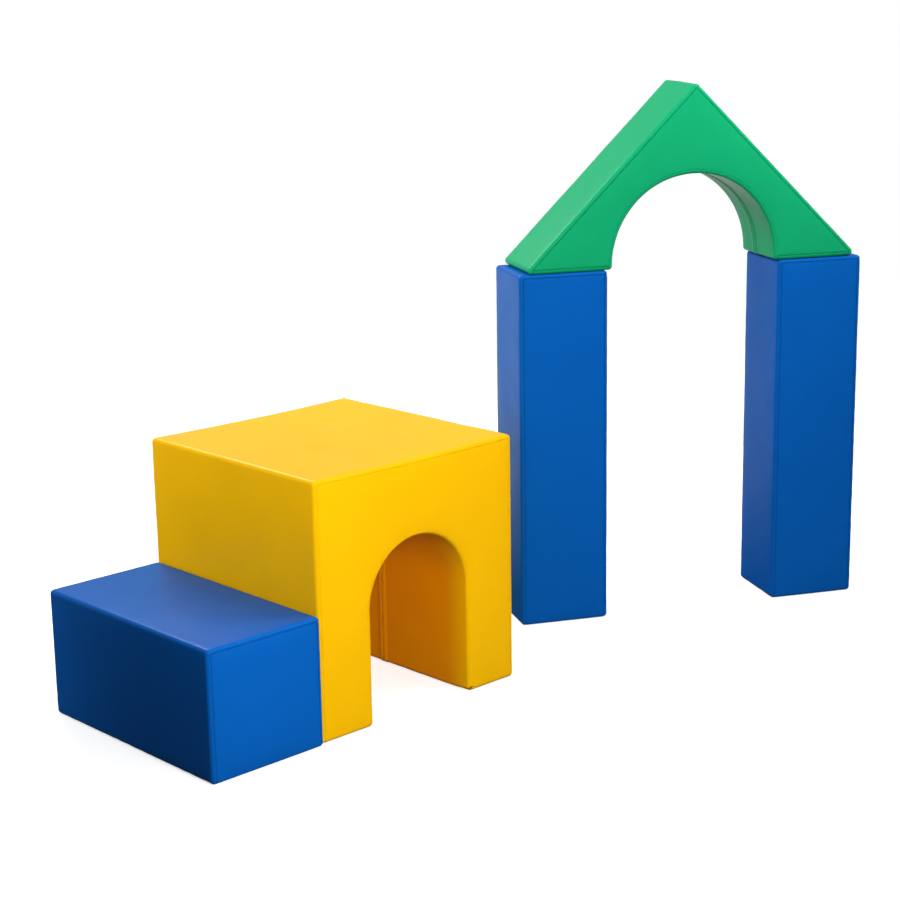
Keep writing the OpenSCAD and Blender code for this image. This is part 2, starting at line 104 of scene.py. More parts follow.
# Waves over the faces, and puckers beside the seams
WAVE = 0.5
WAVE_LENGTH = 170
WAVE_START = 25
WAVE_COUNT = 8
WAVE_SPREAD = (0.7, 1.5)
WAVE_PEAK = 1.6
RIPPLE = 0.4 * WAVE
RIPPLE_LENGTH = WAVE_LENGTH / 3
PUCKER = 0.45
PUCKER_LENGTH = 22
PUCKER_START = 2
PUCKER_REACH = 10

# Sagging top and soft rims of the arches
TUNNEL_SAG = 3.5
TUNNEL_RIM = 4.5
GABLE_RIM = 0.8
RIM_FIRM = 0.05
RIM_POWER = 6
RIM_ON_PANEL = 12
RIM_ON_LINING = 28

# The foam is smaller than the CAD core, so that the seams can sink in
FOAM_IN = 3.0
ARCH_FOAM_IN = 6.0

# Points of the meshes: even spacings, and places close to a seam
SPACING = 6
PANEL_SPACING = 1.4 * SPACING
BAND_SPACING = 10
FOLD_STEP = 11
LIP_RAMP_STEPS = 6
LIP_NOSE_POINTS = 9
TAPE_RAMP_STEPS = 6
TAPE_FLAT_STEPS = 4
NEAR_SEAM = [0, 0.35, 0.8, 1.4, 2.2, 3.3, 5]
EDGE_PLACES = NEAR_SEAM + [7, 9, 11, 13]
PANEL_PLACES = NEAR_SEAM + [7.5, 11]
END_CLEAR = 12
# The rows of an arched panel are graded as on a panel of this width
GRADED_AS = 150
# Points this close are one, faces this small are left out, and faces this near to parallel count as one
WELD = 1e-6
SLIVER = 1e-12
NEARLY_FLAT = 0.05
# Degrees from which the fold between two faces is drawn sharp
SHARP_ANGLE = 55

# What the vinyl was cut with beyond its seams
SEAM_ALLOWANCE = 10

# Lips over a zip
LIP_RISE = 1.0
ARCH_LIP_RISE = 1.6
LIP_RAMP_BEFORE = 4
LIP_RAMP = 6
LIP_FLAT = 2
LIP_STILL = 30

# Zips, as in the part's source: levels under the face of the strip, and places from the middle of the zip
TAPE_TOP = 1.3
TAPE_T = 0.6
COIL_MID = 4.0
TAPE_IN = 4.3
RAMP_IN = 5.8
RAMP_OUT = 8.5
TAPE_OUT = 18

# Stitches along the lips over a zip
STITCH_PITCH = 5
STITCH_L = 3.6
STITCH_R = 0.5
STITCH_IN = 5.5
STITCH_SLANT = 0.5
STITCH_BLUNT = 0.04
STITCH_RINGS = 5
STITCH_SIDES = 6

# A mesh before it becomes a piece: its points, their distances from a seam, its faces, and the flat cut
Made = namedtuple("Made", "points seam faces flat area")

# The tunnel block's own frame in the set's frame
tunnel_low, tunnel_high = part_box("tunnel_wrap")
ORIGIN = np.array([(tunnel_low.x + tunnel_high.x) / 2, tunnel_low.y, 0]) / MM


def turned(x, y, degrees):
    """A way in a frame that is turned about z by so many degrees."""
    a = math.radians(degrees)
    return np.array([x * math.cos(a) - y * math.sin(a), x * math.sin(a) + y * math.cos(a), 0])


# The middle of the gate in the tunnel block's frame
GATE_W = 2 * COLUMN[0] + GATE_SPAN
GATE_CORNER = np.array([TUNNEL[0] / 2 + GATE_RIGHT, GATE_BEHIND, 0])
GATE = GATE_CORNER + turned(GATE_W / 2, COLUMN[1] / 2, -GATE_TURN)


class Place:
    """Where a block stands: its middle, front and base in the set's frame, and its turn."""

    def __init__(self, x, y, z=0.0, gate=False):
        self.turn = -GATE_TURN if gate else 0.0
        self.at = ORIGIN + (GATE + turned(x, y, self.turn) if gate else np.array([x, y, 0.0]))
        self.at = self.at + np.array([0, 0, z])

    def points(self, p):
        """Points of the block's own frame in the set's frame, in metres."""
        a = math.radians(self.turn)
        x = p[..., 0] * math.cos(a) - p[..., 1] * math.sin(a)
        y = p[..., 0] * math.sin(a) + p[..., 1] * math.cos(a)
        return (np.stack([x, y, p[..., 2]], axis=-1) + self.at) * MM


# Forms of soft vinyl
def waves(p, seed, length):
    """Slow waves of about the given length over points p, between about -1 and 1."""
    rng = np.random.default_rng(seed)
    total = np.zeros(p.shape[:-1])
    for _ in range(WAVE_COUNT):
        way = rng.normal(size=3)
        way /= np.linalg.norm(way)
        turns = 2 * math.pi / (length * rng.uniform(*WAVE_SPREAD))
        total += np.sin(p @ way * turns + rng.uniform(0, 2 * math.pi))
    return total * math.sqrt(2 / WAVE_COUNT) / WAVE_PEAK


def rising(away, reach):
    """0 at a seam and nearly 1 a few times the reach away from it."""
    return 1 - np.exp(-away / reach)


def softness(p, seam, lift, seed):
    """How far the cover stands out at points p, which lie so far from a seam."""
    slow = WAVE * waves(p, seed, WAVE_LENGTH) + RIPPLE * waves(p, seed + 1, RIPPLE_LENGTH)
    beside = np.exp(-seam / PUCKER_REACH) * rising(seam, PUCKER_START)
    pucker = PUCKER * waves(p, seed + 2, PUCKER_LENGTH) * beside
    groove = GROOVE_DEPTH * np.exp(-seam / GROOVE_REACH)
    return lift * rising(seam, CROWN_START) + slow * rising(seam, WAVE_START) + pucker - groove


def dome(off, power=CROWN_POWER):
    """1 in the middle and 0 at the ends, where off is -1 and 1; a higher power is flatter between."""
    return 1 - np.abs(off) ** power


def smooth(share):
    """From 0 to 1 with no kink at either end."""
    return share * share * (3 - 2 * share)


def near_zip(stand, off):
    """The lips over a zip lie flat, so the waves die out beside it."""
    return stand * (1 - np.exp(-((off / LIP_STILL) ** 2)))


def soft_rim(across, rim):
    """Ease of an arch's edge: full on its right jamb, and small over the crown and on the left."""
    return rim * (RIM_FIRM + (1 - RIM_FIRM) * np.clip(across, 0, 1) ** RIM_POWER)


def eased(away, rim, reach):
    """How far a soft edge falls back so far away from it."""
    return rim * np.exp(-((away / reach) ** 2))


# Lines and sections
def steps(length, spacing, least):
    """How many steps of about this spacing a length takes, and no fewer than the least."""
    return max(least, round(length / spacing))


def distances(points):
    """How far along a line of points each of them lies."""
    return np.concatenate([[0], np.cumsum(np.linalg.norm(np.diff(points, axis=0), axis=1))])


def loop_length(loop):
    return np.linalg.norm(np.diff(loop, axis=0, append=loop[:1]), axis=1).sum()


def cut_size(width, length):
    """Flat size of a piece that covers this much between its seams."""
    return width + 2 * SEAM_ALLOWANCE, length + 2 * SEAM_ALLOWANCE


def right_of(heading):
    """The way to the right of a heading in radians, which leads out of the foam."""
    return np.array([math.sin(heading), -math.cos(heading)])


def left_of(p, q):
    """The way to the left of the line from p to q."""
    ahead = (q - p) / np.linalg.norm(q - p)
    return np.array([-ahead[1], ahead[0]])


def fold_back(turn):
    """Length that a fold of so many degrees takes from each side of its corner."""
    return FOLD_R * math.tan(math.radians(turn) / 2)


class Path:
    """A line round a block's profile, with the way out of the foam and the crown's height at each point."""

    def __init__(self):
        self.points, self.out, self.lift = [], [], []

    def add(self, p, way, lift=0.0):
        if not self.points or np.linalg.norm(p - self.points[-1]) > WELD:
            self.points.append(p)
            self.out.append(way)
            self.lift.append(lift)

    def line(self, p, q, crown=0.0):
        p, q = np.array(p, float), np.array(q, float)
        way = right_of(math.atan2(q[1] - p[1], q[0] - p[0]))
        for f in np.linspace(0, 1, steps(np.linalg.norm(q - p), SPACING, least=2) + 1):
            self.add(p + f * (q - p), way, crown * dome(2 * f - 1))
        return self

    def fold(self, corner, start, end):
        """Round a corner of the profile, from one heading to another on its left, in degrees."""
        a = math.radians(start)
        ahead = np.array([math.cos(a), math.sin(a)])
        centre = np.array(corner) - fold_back(end - start) * ahead - FOLD_R * right_of(a)
        for h in np.radians(np.linspace(start, end, steps(end - start, FOLD_STEP, least=5))):
            self.add(centre + FOLD_R * right_of(h), right_of(h))
        return self

    def arch(self, r, spring, reach=90):
        """Over an arch from left to right, so many degrees to both sides of its crown."""
        for h in np.radians(np.linspace(reach, -reach, round(math.pi * r / SPACING))):
            self.add(np.array([0, spring]) - r * right_of(h), right_of(h))
        return self

    def arrays(self):
        points = np.array(self.points)
        return points, np.array(self.out), np.array(self.lift), distances(points)


def edge():
    """Section of a rounded front edge from its seam: [outwards, backwards, distance from the seam]."""
    rows = []
    for s in EDGE_PLACES + [EDGE_R * math.pi / 2 + LIP_CLOSE]:
        a = max(0.0, s - LIP_CLOSE) / EDGE_R - math.pi / 2
        out = EDGE_R * math.cos(a) - EDGE_R - max(0.0, LIP_CLOSE - s)
        rows.append([out, EDGE_R + EDGE_R * math.sin(a), s])
    return rows


def outward(section, depth=None):
    """Ways out of the foam at the points of a section, which has a back edge where a depth is given."""
    out = np.maximum(section[:, 0] + EDGE_R, 0)
    way = np.stack([np.ones_like(out), np.zeros_like(out)], axis=1)
    before = section[:, 1] - EDGE_R
    edges = [(before < 0, before)]
    if depth is not None:
        behind = section[:, 1] - (depth - EDGE_R)
        edges.append((behind > 0, behind))
    for at, y in edges:
        way[at] = np.stack([out, y], axis=1)[at] / np.hypot(out, y)[at, None]
    return way


def inner(rows):
    """The inside of a section, a vinyl's thickness within it, in the opposite order."""
    p = np.array(rows)
    p[:, :2] -= VINYL_T * outward(p)
    return p[::-1].tolist()


def from_back(rows, depth):
    """The same rows on the back half of a band, in the opposite order."""
    return [[o, depth - y, s] for o, y, s in rows[::-1]]


def band_section(depth):
    """Whole band from the front seam to the back seam."""
    half = edge()
    quarter = half[-1][2]
    middle = depth / 2
    ys = np.linspace(EDGE_R, middle, steps(middle - EDGE_R, BAND_SPACING, least=3))[1:]
    half += [[0, y, quarter + y - EDGE_R] for y in ys]
    inside = inner(half)
    return np.array(half + from_back(half[:-1], depth) + from_back(inside, depth) + inside[1:])


def strip_section(depth, zip_y, front, rise, ease=0.0):
    """Strip from a seam to the lip folded over the zip; the back one mirrors the front one."""
    end = (zip_y if front else depth - zip_y) - SLIT_W / 2
    start = end - LIP_W
    ramp = start - LIP_RAMP_BEFORE
    rows = [[o, y, away + ease] for o, y, away in edge()]
    quarter = rows[-1][2]

    def row(o, y):
        return [o, y, quarter + y - EDGE_R]

    rows += [row(0, y) for y in np.linspace(EDGE_R, ramp, steps(start, BAND_SPACING, least=3))[1:]]
    inside = inner(rows)
    for f in np.linspace(0, 1, LIP_RAMP_STEPS + 1)[1:]:
        rows.append(row(rise * smooth(f), ramp + LIP_RAMP * f))
    nose = (VINYL_T + rise) / 2
    rows.append([rise, end - nose - LIP_FLAT, quarter + end - EDGE_R])
    for a in np.radians(np.linspace(90, -90, LIP_NOSE_POINTS)):
        rows.append(row(nose * math.sin(a) + nose - VINYL_T, end - nose + nose * math.cos(a)))
    loop = np.array(rows + inside)
    if not front:
        loop[:, 1] = depth - loop[:, 1]
        loop = loop[::-1]
    return loop


def grid_faces(n, m):
    """Faces of n closed rings of m points each, with a cap at both ends."""
    faces = [
        (i * m + k, (i + 1) * m + k, (i + 1) * m + (k + 1) % m, i * m + (k + 1) % m)
        for i in range(n - 1)
        for k in range(m)
    ]
    return faces + [tuple(range(m)), tuple(reversed(range((n - 1) * m, n * m)))]


def reversed_faces(faces):
    return [tuple(reversed(f)) for f in faces]


def spread(points, out, section):
    """Every point of a section at every point of a path."""
    made = np.zeros((len(points), len(section), 3))
    made[..., 0] = points[:, None, 0] + out[:, None, 0] * section[None, :, 0]
    made[..., 1] = section[None, :, 1]
    made[..., 2] = points[:, None, 1] + out[:, None, 1] * section[None, :, 0]
    return made


def swept(path, section, depth, seed, ends=(False, False), zip_y=None, rim=0.0):
    """A closed section swept along a path.

    The ends say which ends of the path are seams, and the rim is how far the front edge is eased.
    """
    points, out, lift, along = path.arrays()
    far = np.full_like(along, NO_SEAM)
    if ends[0]:
        far = np.minimum(far, along)
    if ends[1]:
        far = np.minimum(far, along[-1] - along)
    seam = np.minimum(section[None, :, 2], far[:, None])
    base = spread(points, out, section)
    window = dome(2 * np.clip(section[:, 1] / depth, 0, 1) - 1)
    stand = softness(base, seam, lift[:, None] * window[None, :], seed)
    if zip_y is not None:
        stand = near_zip(stand, section[None, :, 1] - zip_y)
    if rim:
        from_edge = np.minimum(section[:, 1], depth - section[:, 1])
        soft = soft_rim(points[:, 0] / (points[:, 0].max() - FOLD_R), rim)
        stand = stand - eased(from_edge[None, :], soft[:, None], RIM_ON_LINING)
    ways = outward(section, depth)
    way = np.zeros_like(base)
    way[..., 0] = out[:, None, 0] * ways[None, :, 0]
    way[..., 1] = ways[None, :, 1]
    way[..., 2] = out[:, None, 1] * ways[None, :, 0]
    moved = base + way * stand[..., None]
    # Nothing sinks into the floor, and the two layers of a sole stay apart
    moved[..., 2] = np.maximum(moved[..., 2], np.maximum(base[..., 2], 0) / 2)
    flat = cut_size(loop_length(section[:, :2]) / 2, along[-1])
    faces = reversed_faces(grid_faces(*moved.shape[:2]))
    return Made(moved.reshape(-1, 3), np.minimum(seam, SEAM_FAR).reshape(-1), faces, flat, None)


# Panels
def graded(start, end):
    """Places from one seam to another, close together near both."""
    last = PANEL_PLACES[-1]
    inside = end - start - 2 * last
    middle = np.linspace(last, last + inside, steps(inside, PANEL_SPACING, least=2) + 1)[1:-1]
    return start + np.array(PANEL_PLACES + middle.tolist() + [end - start - c for c in PANEL_PLACES[::-1]])


def shell(outer, seam, flat, area=None):
    """A closed skin with a grid of points on its face; its inside lies behind in y."""
    n, m = outer.shape[:2]
    behind = outer + np.array([0, VINYL_T, 0])
    count = n * m
    at = np.arange(count).reshape(n, m)
    faces = []
    for i in range(n - 1):
        for k in range(m - 1):
            a, b, c, d = at[i, k], at[i, k + 1], at[i + 1, k + 1], at[i + 1, k]
            faces.append((a, b, c, d))
            faces.append((d + count, c + count, b + count, a + count))
    rim = list(at[0, :]) + list(at[1:, -1]) + list(at[-1, -2::-1]) + list(at[-2:0:-1, 0])
    for a, b in zip(rim, rim[1:] + rim[:1]):
        faces.append((b, a, a + count, b + count))
    points = np.concatenate([outer.reshape(-1, 3), behind.reshape(-1, 3)])
    return Made(points, np.minimum(np.tile(seam.reshape(-1), 2), SEAM_FAR), faces, flat, area)


def box_panel(size, seed):
    """Front panel of a plain block."""
    w, _, h = size
    x = graded(PANEL_IN - w / 2, w / 2 - PANEL_IN)
    z = graded(PANEL_IN, h - PANEL_IN)
    gx, gz = np.meshgrid(x, z)
    seam = np.minimum(
        np.minimum(gx - x[0], x[-1] - gx),
        np.minimum(gz - z[0] + FOOT_EASE, z[-1] - gz),
    )
    crown = dome(2 * gx / w) * dome(2 * gz / h - 1, LONG_CROWN_POWER)
    base = np.stack([gx, np.zeros_like(gx), gz], axis=-1)
    base[..., 1] -= softness(base, seam, PANEL_CROWN * crown, seed)
    return shell(base, seam, cut_size(np.ptp(x), np.ptp(z)))


def inset(corners, e):
    """Closed profile moved inwards by e."""
    line = [np.array(c) for c in corners]
    moved = []
    for p, q, r in zip(line[-1:] + line[:-1], line, line[1:] + line[:1]):
        a, b = left_of(p, q), left_of(q, r)
        moved.append(q + e * (a + b) / (1 + a @ b))
    return moved


def sides(corners):
    """Points along a line of corners, close together at both its ends."""
    close = np.array(PANEL_PLACES)
    last = len(corners) - 2
    rows = []
    for k in range(last + 1):
        p, q = corners[k], corners[k + 1]
        length = np.linalg.norm(q - p)
        places = np.linspace(0, length, steps(length, SPACING, least=4) + 1)
        if k == 0:
            places = np.concatenate([close[:-1], places[places > END_CLEAR]])
        else:
            places = places[1:]
        if k == last:
            places = np.concatenate([places[places < length - END_CLEAR], length - close[::-1]])
        rows += [p + (q - p) * s / length for s in places]
    return np.array(rows)


def arch_points(r, spring, foot, shares):
    """Points round an arch from its right foot to its left one, at these shares of the way."""
    start = math.asin((foot - spring) / r) if spring < foot else 0.0
    jamb = max(0.0, spring - foot)
    curve = r * (math.pi - 2 * start)
    s = shares * (2 * jamb + curve)
    a = start + (s - jamb) / r
    p = np.stack([r * np.cos(a), spring + r * np.sin(a)], axis=1)
    up, down = s < jamb, s > jamb + curve
    p[up] = np.stack([np.full(up.sum(), r), foot + s[up]], axis=1)
    p[down] = np.stack([np.full(down.sum(), -r), foot + (2 * jamb + curve - s)[down]], axis=1)
    return p


def cut_area(outline):
    """Flat area of a panel with this outline, with its seam allowance."""
    x, z = outline.T
    inside = abs(np.dot(x, np.roll(z, 1)) - np.dot(z, np.roll(x, 1))) / 2
    return inside + SEAM_ALLOWANCE * loop_length(outline)


def arched_panel(corners, r, spring, seed, rim, foot_ease=0):
    """Front panel between a profile and the arch cut in it, in rows from the profile to the arch."""
    line = inset(corners, PANEL_IN)
    outer = sides(line)
    along = distances(outer)
    arch = arch_points(r + PANEL_IN, spring, PANEL_IN, along / along[-1])
    places = graded(0, GRADED_AS) / GRADED_AS
    p = outer[:, None] + (arch - outer)[:, None] * places[None, :, None]
    seam = p[..., 1] - PANEL_IN + foot_ease
    for a, b in zip(line, line[1:]):
        seam = np.minimum(seam, (p - a) @ left_of(a, b))
    high = p[..., 1] > spring
    to_middle = np.where(high, np.hypot(p[..., 0], p[..., 1] - spring), np.abs(p[..., 0]))
    to_arch = to_middle - (r + PANEL_IN)
    seam = np.maximum(np.minimum(seam, to_arch + ARCH_GROOVE_EASE), 0)
    row = np.arange(len(outer)) / (len(outer) - 1)
    crown = dome(2 * row - 1, LONG_CROWN_POWER)[:, None] * dome(2 * places - 1)[None]
    base = np.stack([p[..., 0], np.zeros_like(crown), p[..., 1]], axis=-1)
    soft = soft_rim(p[..., 0] / (r + PANEL_IN), rim)
    base[..., 1] -= softness(base, seam, ARCH_CROWN * crown, seed) - eased(to_arch, soft, RIM_ON_PANEL)
    flat = cut_size(np.ptp(outer[:, 0]), np.ptp(outer[:, 1]))
    return shell(base[:, ::-1], seam[:, ::-1], flat, cut_area(np.concatenate([outer, arch[::-1]])))


def to_back(made, depth):
    """The mirror image of a front piece, on the back of a block."""
    points = made.points * np.array([1, -1, 1]) + np.array([0, depth, 0])
    return made._replace(points=points, faces=reversed_faces(made.faces))


# Pieces in the scene
def linked(name, data):
    """A new object in the scene, from a mesh, a lamp or a camera."""
    made = bpy.data.objects.new(name, data)
    bpy.context.scene.collection.objects.link(made)
    return made


def new_mesh(name, points, faces, material):
    """A mesh from points in metres."""
    mesh = bpy.data.meshes.new(name)
    mesh.from_pydata(points, [], faces)
    mesh.materials.append(material)
    return mesh


def mesh_piece(name, points, faces, body, material):
    """A smooth mesh that rides on a body, from points in metres."""
    mesh = new_mesh(name, points.tolist(), faces, material)
    mesh.validate()
    mesh.shade_smooth()
    mesh.set_sharp_from_angle(angle=math.radians(SHARP_ANGLE))
    made = linked(name, mesh)
    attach(made, body)
    return made


def sheet_piece(name, made, place, node, material, warp=None):
    """A stretched sheet that stands for a CAD node."""
    body = next(b for b in BODIES if node.startswith(b))
    points = made.points if warp is None else warp(made.points)
    sheet = mesh_piece(name, place.points(points), made.faces, body, material)
    seam = sheet.data.attributes.new("seam", "FLOAT", "POINT")
    seam.data.foreach_set("value", made.seam.astype(np.float32))
    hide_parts(node)
    return sheet


# Materials
class Nodes:
    """Short way to make and link the nodes of a material or a world."""

    def __init__(self, tree):
        self.tree = tree
        self.tree.nodes.clear()

    def add(self, kind, inputs=None, **settings):
        made = self.tree.nodes.new(kind)
        for name, value in settings.items():
            setattr(made, name, value)
        for name, value in (inputs or {}).items():
            if isinstance(value, bpy.types.NodeSocket):
                self.tree.links.new(value, made.inputs[name])
            else:
                made.inputs[name].default_value = value
        return made

    def place(self):
        """Where a point lies on the object, in metres."""
        return self.add("ShaderNodeTexCoord").outputs["Object"]

    def mix(self, share, colour, other, **settings):
        """A colour with a share of another in it."""
        inputs = {"Factor": share, 6: colour, 7: other}
        return self.add("ShaderNodeMix", inputs, data_type="RGBA", **settings).outputs[2]

    def ranged(self, value, source, target):
        """A value of one range brought to another."""
        inputs = {"Value": value, "From Min": source[0], "From Max": source[1]}
        inputs.update({"To Min": target[0], "To Max": target[1]})
        return self.add("ShaderNodeMapRange", inputs).outputs["Result"]

    def bump(self, height, strength, metres):
        inputs = {"Height": height, "Strength": strength, "Distance": metres}
        return self.add("ShaderNodeBump", inputs).outputs["Normal"]

    def surface(self, inputs):
        """The surface that a material ends in."""
        made = self.add("ShaderNodeBsdfPrincipled", inputs)
        self.add("ShaderNodeOutputMaterial", {"Surface": made.outputs["BSDF"]})


def blank(name):
    """A new material and the maker of its nodes."""
    material = bpy.data.materials.new(name)
    material.use_nodes = True
    return material, Nodes(material.node_tree)


def linear(text):
    """A colour written as six hexadecimal digits, as linear light."""
    rgb = [int(text[i : i + 2], 16) / 255 for i in (0, 2, 4)]
    return tuple(c / 12.92 if c <= 0.04045 else ((c + 0.055) / 1.055) ** 2.4 for c in rgb) + (1.0,)


def shade(colour, share):
    return tuple(c * share for c in colour[:3]) + (1.0,)


# A noise texture's usual values, and what becomes of them on vinyl and on plated zinc
NOISE_SPAN = (0.3, 0.7)
VINYL_ROUGH = (0.29, 0.34)
NICKEL_ROUGH = (0.22, 0.45)
VINYL_TONES = (0.95, 1.05)
THREAD_TONES = (0.75, 1.1)
# Low, so that the white room doesn't veil the blue
VINYL_SPECULAR = 0.07
# Distances from a seam over which a groove's painted shade fades, and from which a lining's painted shade
# colour starts
GROOVE_SHADE = (0.2, 3.0)
PAINTED_SHADE_START = 10.0
THREAD_SHADE = 0.85
THREAD_SCALE = 900.0
THREAD_ROUGH = 0.6
TAPE_SCALE = 420.0
TAPE_ROUGH = 0.85


def vinyl(name, colour, painted_groove_shade, painted_shade_colour=None):
    """Coated fabric: a leather grain, slow random changes of tone and gloss, and painted shade in the grooves
    at the seams.

    Where a painted shade colour is given, it takes over far from the seams: painted shade and bounced light
    of the hollow that the vinyl lines.
    """
    material, n = blank(name)
    place = n.place()
    cloud = n.add("ShaderNodeTexNoise", {"Vector": place, "Scale": 7.0, "Detail": 3.0, "Roughness": 0.55})
    tone = n.mix(cloud.outputs["Fac"], *(shade(colour, share) for share in VINYL_TONES))
    seam = n.add("ShaderNodeAttribute", attribute_name="seam").outputs["Fac"]
    # Painted shade: far from the seams the colour turns to the deeper one, for the shade and bounced light
    # inside an arch
    if painted_shade_colour is not None:
        tone = n.mix(n.ranged(seam, (PAINTED_SHADE_START, SEAM_FAR), (0.0, 1.0)), tone, painted_shade_colour)
    # Painted shade: the vinyl darkens within 3 mm of a seam, where shade falls in the seam's groove
    groove = n.ranged(seam, GROOVE_SHADE, (painted_groove_shade, 1.0))
    tone = n.mix(1.0, tone, groove, blend_type="MULTIPLY")
    leather = {"Vector": place, "Scale": 850.0, "Smoothness": 0.6}
    cells = n.add("ShaderNodeTexVoronoi", leather, feature="SMOOTH_F1")
    fine = n.add("ShaderNodeTexNoise", {"Vector": place, "Scale": 320.0, "Detail": 2.0})
    both = {0: cells.outputs["Distance"], 1: fine.outputs["Fac"]}
    grain = n.add("ShaderNodeMath", both, operation="ADD").outputs["Value"]
    patch = n.add("ShaderNodeTexNoise", {"Vector": place, "Scale": 9.0, "Detail": 1.0})
    n.surface(
        {
            "Base Color": tone,
            "Roughness": n.ranged(patch.outputs["Fac"], NOISE_SPAN, VINYL_ROUGH),
            "Normal": n.bump(grain, strength=0.05, metres=0.0003),
            "Specular IOR Level": VINYL_SPECULAR,
        }
    )
    return material


def foam():
    """Open-cell foam: cream, with small pores."""
    material, n = blank("foam")
    pores = n.add("ShaderNodeTexVoronoi", {"Vector": n.place(), "Scale": 420.0}).outputs["Distance"]
    tone = n.mix(pores, linear("CFC3A4"), linear("EFE9DA"))
    relief = n.bump(pores, strength=0.6, metres=0.0008)
    n.surface({"Base Color": tone, "Normal": relief, "Roughness": 0.95})
    return material


def wound(name, colour, scale, rough):
    """Thread or woven tape: fine slanted ridges with a little change of shade."""
    material, n = blank(name)
    ridges = n.add(
        "ShaderNodeTexWave",
        {"Vector": n.place(), "Scale": scale, "Distortion": 1.5, "Detail": 2.0},
        bands_direction="DIAGONAL",
    ).outputs["Fac"]
    tone = n.mix(ridges, *(shade(colour, share) for share in THREAD_TONES))
    relief = n.bump(ridges, strength=0.5, metres=0.0002)
    n.surface({"Base Color": tone, "Normal": relief, "Roughness": rough})
    return material


def thread(name, colour):
    """Sewing thread, a little darker than its vinyl."""
    return wound(name, shade(colour, THREAD_SHADE), THREAD_SCALE, THREAD_ROUGH)


def coil():
    """Moulded nylon with the turns of the coil across it."""
    material, n = blank("zip_coil")
    turns = n.add("ShaderNodeTexVoronoi", {"Vector": n.place(), "Scale": 600.0}).outputs["Distance"]
    tone = n.mix(turns, linear("17181B"), linear("303338"))
    relief = n.bump(turns, strength=0.7, metres=0.0005)
    n.surface({"Base Color": tone, "Normal": relief, "Roughness": 0.45})
    return material


def nickel():
    """Plated zinc with fine scratches."""
    material, n = blank("zip_slider")
    long_way = n.add("ShaderNodeMapping", {"Vector": n.place(), "Scale": (900.0, 900.0, 60.0)})
    fine = {"Vector": long_way.outputs["Vector"], "Scale": 1.0, "Detail": 4.0}
    scratches = n.add("ShaderNodeTexNoise", fine).outputs["Fac"]
    tone = n.mix(scratches, linear("8F9297"), linear("C3C6CA"))
    rough = n.ranged(scratches, NOISE_SPAN, NICKEL_ROUGH)
    n.surface({"Base Color": tone, "Metallic": 1.0, "Roughness": rough})
    return material


YELLOW_BASE, BLUE_BASE, GREEN_BASE = linear("F8BC05"), linear("065DB5"), linear("13A66D")
# Painted shade in the seams' grooves: the vinyl's colour is multiplied by these values at a seam, darkest on
# the green
YELLOW = vinyl("vinyl_yellow", YELLOW_BASE, painted_groove_shade=0.93)
# The lining is the yellow vinyl; its deeper orange far from the seams is painted shade of the tunnel's inside
LINING = vinyl("vinyl_lining", YELLOW_BASE, painted_groove_shade=0.93, painted_shade_colour=linear("F99E03"))
BLUE = vinyl("vinyl_blue", BLUE_BASE, painted_groove_shade=0.8)
GREEN = vinyl("vinyl_green", GREEN_BASE, painted_groove_shade=0.7)
YELLOW_THREAD = thread("thread_yellow", YELLOW_BASE)
BLUE_THREAD = thread("thread_blue", BLUE_BASE)
GREEN_THREAD = thread("thread_green", GREEN_BASE)
TAPE = wound("zip_tape", linear("3A3D42"), TAPE_SCALE, TAPE_ROUGH)
COIL = coil()
NICKEL = nickel()
FOAM = foam()


# The foam inside the covers
def pulled_in(node, by):
    """Points of a CAD node's mesh with every face moved inwards, in millimetres, and its faces."""
    made = bmesh.new()
    made.from_mesh(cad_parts[node].data)
    bmesh.ops.remove_doubles(made, verts=made.verts, dist=WELD)
    moved = np.array([v.co for v in made.verts]) / MM
    for i, v in enumerate(made.verts):
        ways = np.array([f.normal for f in v.link_faces if f.calc_area() > SLIVER])
        moved[i] += np.linalg.lstsq(ways, np.full(len(ways), -by), rcond=NEARLY_FLAT)[0]
    faces = [tuple(v.index for v in f.verts) for f in made.faces]
    made.free()
    return moved, faces


def core(body, inset_by=FOAM_IN, sag=0.0):
    """Foam of a block, a little smaller than the CAD core so that the seams can sink in."""
    node = f"{body}_core"
    points, faces = pulled_in(node, inset_by)
    top = points[:, 2].max()
    points[points[:, 2] > top - FOLD_R, 2] -= sag
    made = linked(f"foam_{body}", new_mesh(f"foam_{body}", (points * MM).tolist(), faces, FOAM))
    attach(made, body)
    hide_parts(node)
    return made


# The covers, block by block
def box_corners(w, h):
    return [(w / 2, 0), (w / 2, h), (-w / 2, h), (-w / 2, 0)]


def lining_path(w, spring):
    """Round an arch from the fold at its left foot to the fold at its right one."""
    r = w / 2
    path = Path().fold((-r, 0), 0, 90)
    if spring > FOLD_R:
        path.line((-r, FOLD_R), (-r, spring))
    path.arch(r, spring)
    if spring > FOLD_R:
        path.line((r, spring), (r, FOLD_R))
    return path.fold((r, 0), 270, 360)


def sole_path(start, end):
    return Path().line((start + SEAM_GAP, 0), (end - SEAM_GAP, 0))


def arch_zip_path(w, spring):
    """Round an arch between the two ends of its zip."""
    r = w / 2
    start = math.degrees(math.asin(max(0.0, ZIP_LIFT - spring) / r))
    path = Path()
    if spring > ZIP_LIFT:
        path.line((-r, ZIP_LIFT), (-r, spring))
    path.arch(r, spring, 90 - start)
    if spring > ZIP_LIFT:
        path.line((r, spring), (r, ZIP_LIFT))
    return path


